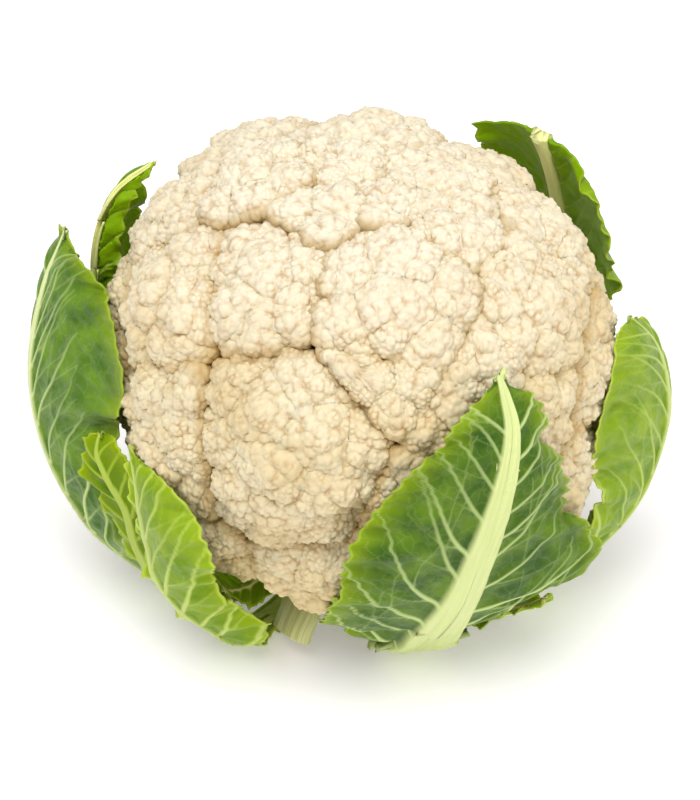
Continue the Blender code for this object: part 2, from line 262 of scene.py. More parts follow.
def noiseOf(nodes, links, where, scale, detail=3.0):
    noise = nodes.new("ShaderNodeTexNoise")
    noise.inputs["Scale"].default_value = scale
    noise.inputs["Detail"].default_value = detail
    links.new(where, noise.inputs["Vector"])
    return noise.outputs["Fac"]


def combine(nodes, links, operation, first, second):
    node = nodes.new("ShaderNodeMath")
    node.operation = operation
    for socket, value in zip(node.inputs, (first, second)):
        if isinstance(value, (int, float)):
            socket.default_value = value
        else:
            links.new(value, socket)
    return node.outputs[0]


def fibresOf(nodes, links, where, scale, detail):
    # a noise drawn out along the second coordinate
    stretch = nodes.new("ShaderNodeMapping")
    stretch.inputs["Scale"].default_value = scale
    links.new(where, stretch.inputs["Vector"])
    return noiseOf(nodes, links, stretch.outputs["Vector"], 1.0, detail)


def setFlesh(shader, finish, colourReach):
    # how rough it is, the share of light that scatters inside, and how far each colour goes
    shader.inputs["Roughness"].default_value = finish["roughness"]
    shader.inputs["Subsurface Weight"].default_value = finish["glow"]
    shader.inputs["Subsurface Radius"].default_value = colourReach
    shader.inputs["Subsurface Scale"].default_value = finish["glowReach"]


def bumpOf(nodes, links, shader, height, strength, distance):
    bump = nodes.new("ShaderNodeBump")
    bump.inputs["Strength"].default_value = strength
    bump.inputs["Distance"].default_value = distance
    links.new(height, bump.inputs["Height"])
    links.new(bump.outputs["Normal"], shader.inputs["Normal"])


curdFinish = {
    "cream": (0.71, 0.575, 0.32),
    "pale": (0.775, 0.675, 0.445),
    "low": (0.70, 0.55, 0.25),  # painted shade: the florets near the ground are darker and more tan
    "high": (0.88, 0.80, 0.635),  # painted light: the crown is lighter and whiter
    # tan is painted shade in the creases between buds
    "tan": (0.47, 0.26, 0.065),
    # deep is painted shade in the creases between lobes and florets and under their caps
    "deep": (0.48, 0.31, 0.085),
    "stem": (0.80, 0.82, 0.50),
    "roughness": 0.52,
    "glow": 0.18,  # share of light that scatters inside
    "glowReach": 0.0035,
}


def curdMaterial():
    material, nodes, links, shader = newMaterial("curd")
    where = nodes.new("ShaderNodeTexCoord").outputs["Object"]
    crease = attributeOf(nodes, "crease").outputs["Fac"]
    deep = attributeOf(nodes, "deep").outputs["Fac"]
    stem = attributeOf(nodes, "stem").outputs["Fac"]
    patches = rampOf(nodes, links, noiseOf(nodes, links, where, 45, 2), 0.38, 0.62)
    specks = rampOf(nodes, links, noiseOf(nodes, links, where, 260, 2), 0.45, 0.7)
    colour = mixColours(nodes, links, patches, curdFinish["cream"], curdFinish["pale"])
    height = nodes.new("ShaderNodeSeparateXYZ")
    links.new(where, height.inputs["Vector"])
    level = height.outputs["Z"]
    # painted shade towards the ground and painted light on the crown, by height in object coordinates
    paintedShadeBelow = rampOf(nodes, links, level, 0.085, 0.045, 0.8)
    colour = mixColours(nodes, links, paintedShadeBelow, colour, curdFinish["low"])
    paintedLightAbove = rampOf(nodes, links, level, 0.135, 0.180, 0.85)
    colour = mixColours(nodes, links, paintedLightAbove, colour, curdFinish["high"])
    # painted shade: tan in the creases between buds, broken up by specks
    paintedCreaseShade = combine(nodes, links, "MULTIPLY", rampOf(nodes, links, crease, 0.25, 0.9, 0.85), specks)
    # painted shade: the deep colour in the creases between lobes and florets and on the stems just
    # under the caps
    sunk = rampOf(nodes, links, deep, 0.25, 1.0, 0.8)
    colour = mixColours(nodes, links, sunk, colour, curdFinish["deep"])
    colour = mixColours(nodes, links, paintedCreaseShade, colour, curdFinish["tan"])
    colour = mixColours(nodes, links, stem, colour, curdFinish["stem"])
    links.new(colour, shader.inputs["Base Color"])
    setFlesh(shader, curdFinish, (1.0, 0.6, 0.3))
    bumpOf(nodes, links, shader, noiseOf(nodes, links, where, 2200, 3), 0.35, 0.0002)
    return material


# Florets

floretShape = {
    "edgeSamples": 72,  # directions in which the width of a floret is measured
    "step": 0.00045,  # grid spacing over the curd
    "farStep": 1.3,  # times coarser on the far side
    "gridSpan": 1.75,  # grid's length against the longest way from middle to edge
    "leastRoom": 0.30,  # from a crease to the next smaller bud's middle, against their distance apart
    "lap": 0.0003,  # how far each edge reaches past the plane where two florets meet
    "cornering": 13.0,  # higher makes sharper corners where three florets meet
    "shoulder": 0.972,  # how round the edge turns over, 1 is a full quarter circle
    "edgeDrop": 0.31,  # how far the edge is below the middle, in half-widths
    "sunk": 0.30,  # share of the buds' heights that the cap is lowered by
    "stemShare": 0.42,  # stem's width at the crown against the floret's cap
    "stemRows": 14,
    "stemStride": 4,
}
# Each order of buds on the curd, from lobes to single beads: distance apart, height, how near to the
# edge their middles reach, how uneven their heights are, and how strong the painted shade is in the
# creases between them
budOrders = (
    {"apart": 0.0150, "height": 0.0027, "reach": 0.86, "uneven": 0.35},
    {"apart": 0.0076, "height": 0.0016, "reach": 0.95, "uneven": 0.35, "creaseShading": 0.7},
    {"apart": 0.0035, "height": 0.0009, "reach": 0.985, "uneven": 0.30, "creaseShading": 0.85},
    {"apart": 0.00152, "height": 0.00066, "reach": 1.0, "uneven": 0.25, "creaseShading": 0.8},
)
floretCells = {
    name: direction(azimuth, elevation) / math.cos(math.radians(halfAngle))
    for name, (azimuth, elevation, halfAngle, _) in florets.items()
}
floretCells["underside"] = np.array((0.0, 0.0, -1.0)) / math.cos(math.radians(head["openBelow"]))


def floretEdge(name, axis, toward):
    # two caps meet on the plane whose normal is the difference of their cells; tan(edge angle) towards
    # each side is 1 / (sum of the planes' closeness^n)^(1/n), a soft smallest of the planes' angles
    others = [cell for other, cell in floretCells.items() if other != name]
    planes = np.array(others) - floretCells[name]
    closeness = np.maximum(toward @ planes.T / -(planes @ axis), 0)
    n = floretShape["cornering"]
    return np.arctan((closeness**n).sum(axis=-1) ** (-1 / n))


def middleOf(name):
    # the cap's middle: from the floret's own direction, moved three times to the middle of its edge
    axis = direction(*florets[name][:2])
    ring = evenTurns(floretShape["edgeSamples"])
    for _ in range(3):
        sideA = unit(np.cross(axis, (0.0, 0.0, 1.0)))
        toward = np.cos(ring)[:, None] * sideA + np.sin(ring)[:, None] * np.cross(axis, sideA)
        angle = floretEdge(name, axis, toward)[:, None]
        corners = np.cos(angle) * axis + np.sin(angle) * toward
        axis = unit((corners * angle**2).sum(axis=0))
    return axis


def curdGrid(name, axis, sideA, sideB, proud):
    # a square grid squeezed into a disc, x = a sqrt(1 - b^2/2) and y = b sqrt(1 - a^2/2), its rings r
    # drawn closer at the edge as 1.24 r - 0.24 r^3; a point's share of the edge angle is its ring, and
    # the surface drops towards the edge as 1 - sqrt(1 - (shoulder share)^2), scaled to 1 at the edge
    ring = evenTurns(floretShape["edgeSamples"])
    toward = np.cos(ring)[:, None] * sideA + np.sin(ring)[:, None] * sideB
    edges = floretEdge(name, axis, toward) * headReach(axis)
    halfWidth = edges.mean()
    step = floretShape["step"] * (floretShape["farStep"] if axis[1] > 0.3 else 1)
    step = step * 1
    count = int(edges.max() * floretShape["gridSpan"] / step / 2) * 2
    a, b = np.meshgrid(np.linspace(-1, 1, count + 1), np.linspace(-1, 1, count + 1))
    x, y = a * np.sqrt(1 - b * b / 2), b * np.sqrt(1 - a * a / 2)
    share = np.minimum(np.hypot(x, y), 1)
    share = share * (1.24 - 0.24 * share**2)
    turn = np.arctan2(y, x)
    toward = np.cos(turn)[..., None] * sideA + np.sin(turn)[..., None] * sideB
    edge = floretEdge(name, axis, toward) + floretShape["lap"] / head["radius"]
    angle = share * edge
    way = np.cos(angle)[..., None] * axis + np.sin(angle)[..., None] * toward
    flat = floretShape["shoulder"]
    turnedOver = (1 - np.sqrt(1 - (flat * share) ** 2)) / (1 - math.sqrt(1 - flat * flat))
    lowered = sum(order["height"] for order in budOrders) * floretShape["sunk"]
    reach = headReach(way) + proud - lowered - floretShape["edgeDrop"] * halfWidth * turnedOver
    return head["centre"] + reach[..., None] * way, share, edge, toward, reach


def growBuds(points, share, random):
    # each order adds height (1 - t^2) along the current normal, where t = 2 f1 / (f1 + f2) from the two
    # nearest middles, 0 on a middle and 1 on the crease between two
    rows, columns = share.shape
    flatShare = share.ravel()
    fade = 1 - 0.6 * smoothStep(0.94, 1.0, flatShare)
    room = np.full(flatShare.shape, np.inf)
    crease = np.zeros(flatShare.shape)
    # painted shade near a floret's edge, where it meets its neighbours in a crease
    deep = smoothStep(0.76, 1.0, flatShare)
    for level, order in enumerate(budOrders):
        normals = gridNormals(points.reshape(rows, columns, 3)).reshape(-1, 3)
        clear = room > floretShape["leastRoom"] * order["apart"]
        allowed = np.flatnonzero((flatShare < order["reach"]) & clear)
        start = int(random.integers(len(allowed)))
        centres = scatterCentres(points[allowed], order["apart"], random, start)
        nearest, first, second = nearestTwo(points, centres)
        t = 2 * first / (first + second)
        taller = random.uniform(1 - order["uneven"], 1 + order["uneven"], len(centres))[nearest]
        points = points + normals * (order["height"] * taller * (1 - t * t) * fade)[:, None]
        room = np.minimum(room, second - first)
        # the lobes' creases feed the painted shade of deep, the finer creases the painted shade of
        # crease
        if level == 0:
            deep = np.maximum(deep, 0.4 * t**6)
        else:
            crease = np.maximum(crease, order["creaseShading"] * t**3)
    return points, crease, deep


def makeFloret(name, number, material):
    axis, proud = middleOf(name), florets[name][3]
    sideA = unit(np.cross(axis, (0.0, 0.0, 1.0)))
    sideB = np.cross(axis, sideA)
    cap, share, edge, toward, reach = curdGrid(name, axis, sideA, sideB, proud / 1000)
    rows, columns = share.shape
    points, crease, deep = growBuds(cap.reshape(-1, 3), share, np.random.default_rng(700 + number))
    index = np.arange(rows * columns).reshape(rows, columns)
    rim = np.concatenate([index[0, :-1], index[:-1, -1], index[-1, :0:-1], index[:0:-1, 0]])

    # under the curd the floret narrows to a stem: rings along the rim's directions, at smaller angles
    stride = floretShape["stemStride"]
    coarse = rim[::stride]
    rimEdge, rimToward = edge.ravel()[coarse], toward.reshape(-1, 3)[coarse]
    rimReach = reach.ravel()[coarse]
    down = (np.arange(1, floretShape["stemRows"] + 1) / floretShape["stemRows"])[:, None]
    even = smoothStep(0.25, 0.8, down)
    narrow = 1 - (1 - floretShape["stemShare"]) * smoothStep(0.08, 0.85, down)
    angle = (rimEdge[None] * (1 - even) + rimEdge.mean() * even) * narrow
    reached = rimReach[None] * (1 - down) + head["crown"] * 0.75 * down
    stem = np.cos(angle)[..., None] * axis + np.sin(angle)[..., None] * rimToward
    stem = head["centre"] + (reached[..., None] * stem).reshape(-1, 3)
    sides = len(coarse)
    ringIndex = np.arange(floretShape["stemRows"] * sides).reshape(-1, sides) + rows * columns
    wrapped = np.concatenate([ringIndex, ringIndex[:, :1]], axis=1)
    corners = [wrapped[:-1, 1:], wrapped[:-1, :-1], wrapped[1:, :-1], wrapped[1:, 1:]]
    stemQuads = np.stack(corners, axis=-1)
    fine = np.concatenate([rim, rim[:1]])
    strip = [fine[k : len(rim) + k : stride] for k in range(stride, -1, -1)]
    strip = np.stack([*strip, wrapped[0, :-1], wrapped[0, 1:]], axis=1)
    quads = gridQuads(rows, columns)
    stemShare = np.repeat(smoothStep(0.0, 0.5, down[:, 0]), sides)
    attributes = {
        "crease": np.concatenate([crease, np.zeros(len(stem))]),
        # painted shade on the stems just under the caps, fading towards the crown
        "deep": np.concatenate([deep, np.repeat(1 - down[:, 0], sides)]),
        "stem": np.concatenate([np.zeros(len(points)), stemShare]),
    }
    everything = np.concatenate([points, stem])
    polygons = [quads, stemQuads.reshape(-1, 4), strip, ringIndex[-1:, ::-1]]
    piece = makePiece(name + "_floret", everything, polygons, material, attributes)
    standFor(piece, "floret_" + name)
    return len(points) * 2  # about its triangles


curd = curdMaterial()
total = sum(makeFloret(name, number, curd) for number, name in enumerate(florets))
print("florets grown:", len(florets), "with about", total, "triangles")


# Leaves

leafShape = {
    "step": 0.00070,  # grid spacing over a blade
    "farStep": 1.45,  # times coarser on the far side
    "blade": 0.0009,  # thickness
    "bulgeWidth": 0.030,  # half-width that takes the full bulge
    "clearance": 0.0014,  # of the inner face from the curd
    "easing": 0.003,
    "openMargin": 8.0,  # degrees over which the clearance fades out under the head
    "ribPlaces": (0.0, 0.28, 0.5, 0.8, 1.0),  # shares of the midrib's length, one for each width in rib
    "hollow": 0.0009,  # how deep the blade sinks between veins, and how unevenly
    "slack": 0.0005,
    "ribRaise": 0.38,  # of its half-width, outwards
    "ribDepth": 0.55,  # of its half-width, inwards
    "ribStripes": 0.00013,
    "ruffleLengths": (0.030, 0.021, 0.014),
    "crinkleLengths": (0.0085, 0.0061),
    "crinkle": 0.00055,  # height of the finest waves at the margin
    "veinsFrom": 0.13,  # share of the length where the first side vein leaves the midrib
    "veinAngles": (50, 60),  # from the midrib, at its foot
    "veinLength": 0.085,
    "veinWidth": 0.00125,
    "forks": ((0.28, 30), (0.46, -26), (0.62, 28)),  # share of the vein's way and angle turned
    "veinSteps": 14,  # straight steps in one vein
    "veinReach": 0.009,  # how far from a vein the blade is worked out with it
    "leastVein": 0.00078,  # half-width of the finest veins; below it they only grow fainter
    "rimWidth": 0.006,
    "tipRound": 0.045,  # share of the length that rounds off at the tip
}
# rows: left margin, midrib and right margin in millimetres from the stalk to the tip, seen from outside
# bulges: how far each half is blown outwards; rib: half-widths of the midrib; ruffle and teeth: heights
# veins: millimetres between side veins; lobes: side, place, outward millimetres and width of each
leaves = {
    "front_right": {
        "rows": [
            ((2, -26, 11), (9, -24, 10), (16, -20, 11)),
            ((8, -40, 7), (15, -38, 5), (22, -35, 7)),
            ((9, -47, 9), (18, -46.5, 8), (27, -45, 12)),
            ((2, -53, 18), (21, -53, 16), (38, -55, 25)),
            ((-13, -68, 38), (27, -70, 42), (62, -66, 52)),
            ((-8, -89, 69), (34, -80, 66), (80, -61, 58)),
            ((-6, -95, 88), (40, -86, 90), (82, -60, 72)),
            ((1, -95, 106), (44, -88, 107), (72, -66, 91)),
            ((14, -93, 124), (47, -86, 123), (66, -71, 108)),
            ((25, -89, 134), (48, -82, 136), (61, -73, 126)),
            ((36, -81, 145), (46, -78, 145), (56, -73, 141)),
            ((42, -76, 150), (44, -75, 152), (46, -74, 150)),
        ],
        "bulges": (4, 4),
        "finish": "deep", "slot": "leaf",
        "rib": (11.5, 10.6, 6.6, 3.4, 1.0), "ruffle": 2.2, "teeth": (5.5, 2.6), "veins": 17,
        "lobes": ((1, 0.36, 4, 0.03), (1, 0.6, -5, 0.05), (1, 0.5, 3, 0.03), (1, 0.73, 3, 0.05),),
    },
    "front_left": {
        "rows": [
            ((-24, -13, 9), (-20, -17, 8), (-16, -21, 9)),
            ((-38, -26, 4), (-34, -30, 3), (-30, -35, 4)),
            ((-51, -43, 11), (-48, -46, 10), (-36, -51, 9)),
            ((-60, -54, 26), (-57, -57, 26), (-33, -58, 27)),
            ((-68, -59, 39), (-65, -62, 39), (-42, -64, 39)),
            ((-74, -61, 53), (-71, -64, 53), (-50, -76, 62)),
            ((-77, -59, 68), (-74, -62, 68), (-50, -84, 79)),
            ((-79, -57, 82), (-76, -60, 82), (-54, -80, 91)),
            ((-80, -54, 92), (-77, -57, 92), (-62, -70, 98)),
            ((-80, -49, 101), (-79, -51, 102), (-76, -55, 103)),
        ],
        "bulges": (1, 5),
        "finish": "young", "slot": "young_leaf",
        "rib": (5.0, 4.0, 2.2, 1.3, 0.5), "ruffle": 2.0, "teeth": (5.0, 2.0), "veins": 14,
    },
    "left": {
        "rows": [
            ((-24, 4, 9), (-25, -3, 8), (-24, -10, 9)),
            ((-50, 0, 4), (-50, -9, 2), (-49, -18, 4)),
            ((-76, 0, 19), (-76, -15, 18), (-73, -28, 22)),
            ((-95, 8, 36), (-95, -18, 37), (-80, -39, 44)),
            ((-106, 18, 54), (-107, -14, 52), (-82, -40, 64)),
            ((-110, 27, 74), (-114, -9, 66), (-84, -40, 82)),
            ((-111, 34, 92), (-118, -3, 80), (-85, -39, 100)),
            ((-110, 36, 108), (-119, 2, 95), (-79, -40, 120)),
            ((-109, 36, 122), (-117, 8, 108), (-83, -26, 133)),
            ((-108, 34, 134), (-113, 14, 122), (-89, -11, 140)),
            ((-107, 30, 139), (-109, 19, 132), (-98, 5, 141)),
            ((-106, 24, 142), (-105, 22, 142), (-103, 19, 141)),
        ],
        "bulges": (4, 5),
        "finish": "dark", "slot": "leaf",
        "rib": (7.0, 5.5, 3.2, 1.8, 0.6), "ruffle": 2.0, "teeth": (6.0, 2.2), "veins": 16,
    },
    "left_small": {
        "rows": [
            ((-24, -8, 24), (-22, -12, 24), (-20, -15, 24)),
            ((-45, -21, 18), (-42, -25, 17), (-39, -29, 18)),
            ((-63, -33, 21), (-60, -37, 20), (-57, -41, 21)),
            ((-76, -40, 34), (-72, -44, 34), (-68, -48, 34)),
            ((-85, -44, 55), (-79, -49, 54), (-72, -53, 56)),
            ((-92, -45, 76), (-82, -51, 74), (-75, -54, 78)),
            ((-97, -43, 88), (-87, -50, 86), (-77, -53, 92)),
            ((-97, -41, 97), (-91, -47, 96), (-83, -49, 102)),
            ((-93, -42, 102), (-90, -44, 103), (-86, -46, 104)),
        ],
        "bulges": (2, 1),
        "finish": "bright", "slot": "young_leaf",
        "rib": (4.5, 3.5, 2.0, 1.2, 0.5), "ruffle": 1.6, "teeth": (4.5, 1.8), "veins": 12,
    },
    "right": {
        "rows": [
            ((24, -10, 9), (25, -3, 8), (24, 4, 9)),
            ((48, -20, 4), (50, -12, 2), (51, -4, 4)),
            ((67, -34, 24), (74, -21, 20), (78, -6, 20)),
            ((74, -39, 40), (87, -22, 36), (92, 2, 36)),
            ((80, -40, 56), (97, -18, 45), (100, 12, 52)),
            ((84, -41, 72), (104, -14, 55), (104, 20, 68)),
            ((81, -42, 84), (109, -8, 67), (106, 26, 84)),
            ((79, -42, 98), (111, -5, 80), (106, 28, 84)),
            ((82, -36, 109), (110, -2, 92), (105, 26, 90)),
            ((85, -29, 119), (107, -2, 104), (102, 20, 101)),
            ((87, -22, 127), (102, -4, 115), (99, 10, 112)),
            ((90, -15, 129), (94, -8, 126), (96, 1, 119)),
        ],
        "bulges": (4, 4),
        "finish": "young", "slot": "young_leaf",
        "rib": (7.0, 5.0, 3.0, 1.8, 0.6), "ruffle": 2.0, "teeth": (5.5, 2.0), "veins": 15,
    },
    "back_right": {
        "rows": [
            ((24, 12, 9), (18, 18, 8), (12, 24, 9)),
            ((44, 32, 4), (38, 38, 2), (32, 44, 4)),
            ((67, 46, 19), (58, 58, 17), (46, 67, 19)),
            ((84, 52, 42), (71, 71, 38), (52, 84, 42)),
            ((92, 52, 70), (77, 77, 66), (54, 92, 70)),
            ((95, 48, 96), (78, 78, 94), (52, 95, 98)),
            ((92, 38, 120), (75, 74, 120), (48, 90, 126)),
            ((88, 40, 134), (70, 68, 142), (44, 82, 144)),
            ((80, 50, 148), (65, 63, 157), (42, 77, 152)),
        ],
        "bulges": (4, 4),
        "finish": "shadeWithPaintedLight", "slot": "leaf", "blunt": True,
        "rib": (8.5, 7.0, 5.4, 4.6, 4.4), "ruffle": 2.0, "teeth": (5.5, 2.2), "veins": 15,
    },
    "back_left": {
        "rows": [
            ((-17, 20, 9), (-21, 14, 8), (-25, 8, 9)),
            ((-41, 37, 4), (-46, 30, 2), (-50, 23, 4)),
            ((-60, 55, 20), (-70, 42, 18), (-75, 28, 20)),
            ((-72, 66, 42), (-86, 48, 38), (-88, 30, 44)),
            ((-76, 74, 70), (-94, 48, 64), (-92, 26, 70)),
            ((-79, 74, 98), (-97, 44, 92), (-92, 25, 96)),
            ((-82, 66, 122), (-98, 36, 116), (-88, 32, 118)),
            ((-80, 62, 138), (-95, 37, 134), (-86, 38, 132)),
            ((-78, 58, 146), (-88, 43, 146), (-82, 44, 142)),
            ((-74, 56, 151), (-75, 52, 152), (-75, 50, 150)),
        ],
        "bulges": (4, 2),
        "finish": "shadeWithPaintedLight", "slot": "leaf",
        "rib": (6.5, 5.0, 3.0, 1.6, 0.5), "ruffle": 2.0, "teeth": (5.5, 2.2), "veins": 15,
    },
    "back": {
        "rows": [
            ((5, 25, 9), (-3, 25, 8), (-11, 23, 9)),
            ((3, 50, 4), (-6, 50, 2), (-15, 49, 4)),
            ((6, 76, 19), (-9, 76, 17), (-25, 73, 19)),
            ((14, 94, 42), (-12, 97, 38), (-38, 88, 42)),
            ((20, 98, 70), (-14, 105, 64), (-46, 92, 70)),
            ((22, 98, 96), (-14, 107, 90), (-48, 92, 96)),
            ((16, 97, 116), (-13, 103, 112), (-40, 92, 116)),
            ((2, 95, 130), (-12, 96, 132), (-26, 92, 130)),
        ],
        "bulges": (4, 4),
        "finish": "dark", "slot": "leaf",
        "rib": (7.5, 6.0, 3.6, 2.0, 0.7), "ruffle": 2.2, "teeth": (5.5, 2.2), "veins": 15,
    },
    "low_right": {
        "rows": [
            ((16, -20, 24), (19, -17, 24), (22, -14, 24)),
            ((30, -35, 18), (34, -31, 17), (38, -27, 18)),
            ((40, -48, 18), (47, -42, 18), (54, -36, 18)),
            ((50, -53, 24), (58, -48, 24), (66, -42, 24)),
            ((62, -55, 33), (66, -52, 33), (70, -48, 33)),
        ],
        "bulges": (1, 1),
        "finish": "shadeWithPaintedLight", "slot": "leaf",
        "rib": (4.0, 3.0, 2.0, 1.2, 0.5), "ruffle": 1.5, "teeth": (4.5, 1.6), "veins": 9,
    },
    "inner_front": {
        "rows": [
            ((-21, -15, 35), (-19, -17, 35), (-17, -19, 35)),
            ((-37, -23, 30), (-33, -28, 26), (-27, -31, 25)),
            ((-48, -33, 32), (-43, -39, 26), (-36, -43, 23)),
            ((-53, -42, 36), (-49, -47, 32), (-43, -51, 29)),
        ],
        "bulges": (1, 1),
        "finish": "shadeWithPaintedLight", "slot": "leaf",
        "rib": (3.0, 2.4, 1.6, 1.0, 0.5), "ruffle": 1.0, "teeth": (4.0, 1.2), "veins": 8,
    },
}


def clearOfHead(points, clearance):
    # distance from the head's middle is at least reach + clearance, eased as (x + sqrt(x^2 + e^2)) / 2;
    # it fades out in the cone under the head
    arm = points - head["centre"]
    distance = np.linalg.norm(arm, axis=-1, keepdims=True)
    way = arm / distance
    fromBelow = np.degrees(np.arccos(-way[..., 2:]))
    filled = np.clip((fromBelow - head["openBelow"]) / leafShape["openMargin"] + 1, 0, 1)
    least = (headReach(way)[..., None] + clearance) * filled
    excess = distance - least
    eased = 0.5 * (excess + np.sqrt(excess**2 + leafShape["easing"] ** 2))
    return head["centre"] + way * np.where(filled > 0, least + eased, distance)


def arcLength(path):
    steps = np.linalg.norm(np.diff(path, axis=0), axis=1)
    return np.concatenate([[0], np.cumsum(steps)])


def toothedLine(arc, spacing, height, lean, random):
    # teeth of uneven spacing and height as straight flanks, each with its peak at lean of its width
    gaps = random.uniform(0.6, 1.45, int(arc[-1] / spacing * 1.6) + 4) * spacing
    valleys = np.concatenate([[0], np.cumsum(gaps)])
    peaks = valleys[:-1] + gaps * lean
    heights = random.uniform(0.35, 1.15, len(gaps)) * height
    places = np.stack([valleys[:-1], peaks], axis=1).ravel()
    values = np.stack([np.zeros(len(gaps)), heights], axis=1).ravel()
    return np.interp(arc, places, values) - 0.4 * height


def waves(arc, lengths, random):
    # sum of sines of the given wavelengths at random phases, about -1 to 1
    phases = random.uniform(0, 2 * math.pi, len(lengths))
    total = sum(np.sin(2 * math.pi * arc / w + p) for w, p in zip(lengths, phases))
    return total / math.sqrt(len(lengths))


def bendVein(start, side, heading, reach, width, random):
    # straight steps whose heading turns to the tip by a steady amount and a random walk
    steps = leafShape["veinSteps"]
    t = np.arange(steps) / steps
    wander = np.cumsum(random.normal(0, math.radians(2.2), steps))
    angle = heading - math.radians(22) * t + wander
    moves = reach / steps * np.stack([side * np.sin(angle), np.cos(angle)], axis=1)
    points = np.vstack([start, start + np.cumsum(moves, axis=0)])
    return points, width * (0.35 + 0.65 * (1 - np.linspace(0, 1, steps + 1)) ** 1.2)


def layVeins(leaf, length, random):
    # each side vein leaves the midrib wide and forks three times; gives the points (across, along) and
    # half-widths of each branch
    veins = []
    spacing = leaf["veins"] / 1000
    for side in (-1, 1):
        start = length * leafShape["veinsFrom"] + random.uniform(0.2, 0.8) * spacing
        while start < length * 0.95:
            low = start / length
            heading = math.radians(random.uniform(*leafShape["veinAngles"]) - 16 * low)
            reach = leafShape["veinLength"] * (1 - 0.5 * low)
            width = leafShape["veinWidth"] * (1.15 - 0.6 * low) * random.uniform(0.85, 1.15)
            trunk = bendVein((0.0, start), side, heading, reach, width, random)
            veins.append(trunk)
            for share, turn in leafShape["forks"]:
                at = int(share * leafShape["veinSteps"])
                leg = trunk[0][at + 1] - trunk[0][at]
                turn = math.radians(turn * random.uniform(0.8, 1.25))
                heading = math.atan2(abs(leg[0]), leg[1]) + turn
                veins.append(bendVein(trunk[0][at], side, heading, reach * (0.62 - share * 0.5),
                                      trunk[1][at] * 0.55, random))
            start += spacing * random.uniform(0.8, 1.2) * (1.15 - 0.5 * low)
    return veins


def veinField(flat, veins):
    # for each vein, the distance d to its nearest step; its profile is exp(-(d / half-width)^2)
    # and the fields keep the strongest profile, the greatest height and the least distance, in metres
    around = leafShape["veinReach"]
    shown, raised, apart = np.zeros(len(flat)), np.zeros(len(flat)), np.full(len(flat), around)
    flat = flat.astype(np.float32)
    for points, widths in veins:
        low, high = points.min(axis=0) - around, points.max(axis=0) + around
        near = np.flatnonzero(((flat > low) & (flat < high)).all(axis=1))
        if len(near) == 0:
            continue
        start, leg = points[:-1], np.diff(points, axis=0)
        arm = flat[near][:, None] - start[None]
        along = np.clip((arm * leg).sum(-1) / (leg**2).sum(-1), 0, 1)
        away = np.linalg.norm(arm - along[..., None] * leg, axis=-1)
        step = away.argmin(axis=1)
        row = np.arange(len(near))
        width = widths[step] + (widths[step + 1] - widths[step]) * along[row, step]
        away = away[row, step]
        profile = np.exp(-((away / np.maximum(width, leafShape["leastVein"])) ** 2))
        shown[near] = np.maximum(shown[near], profile * np.clip(width / 0.0010, 0.3, 1))
        raised[near] = np.maximum(raised[near], profile * width * 0.6)
        apart[near] = np.minimum(apart[near], away)
    return shown, raised, apart


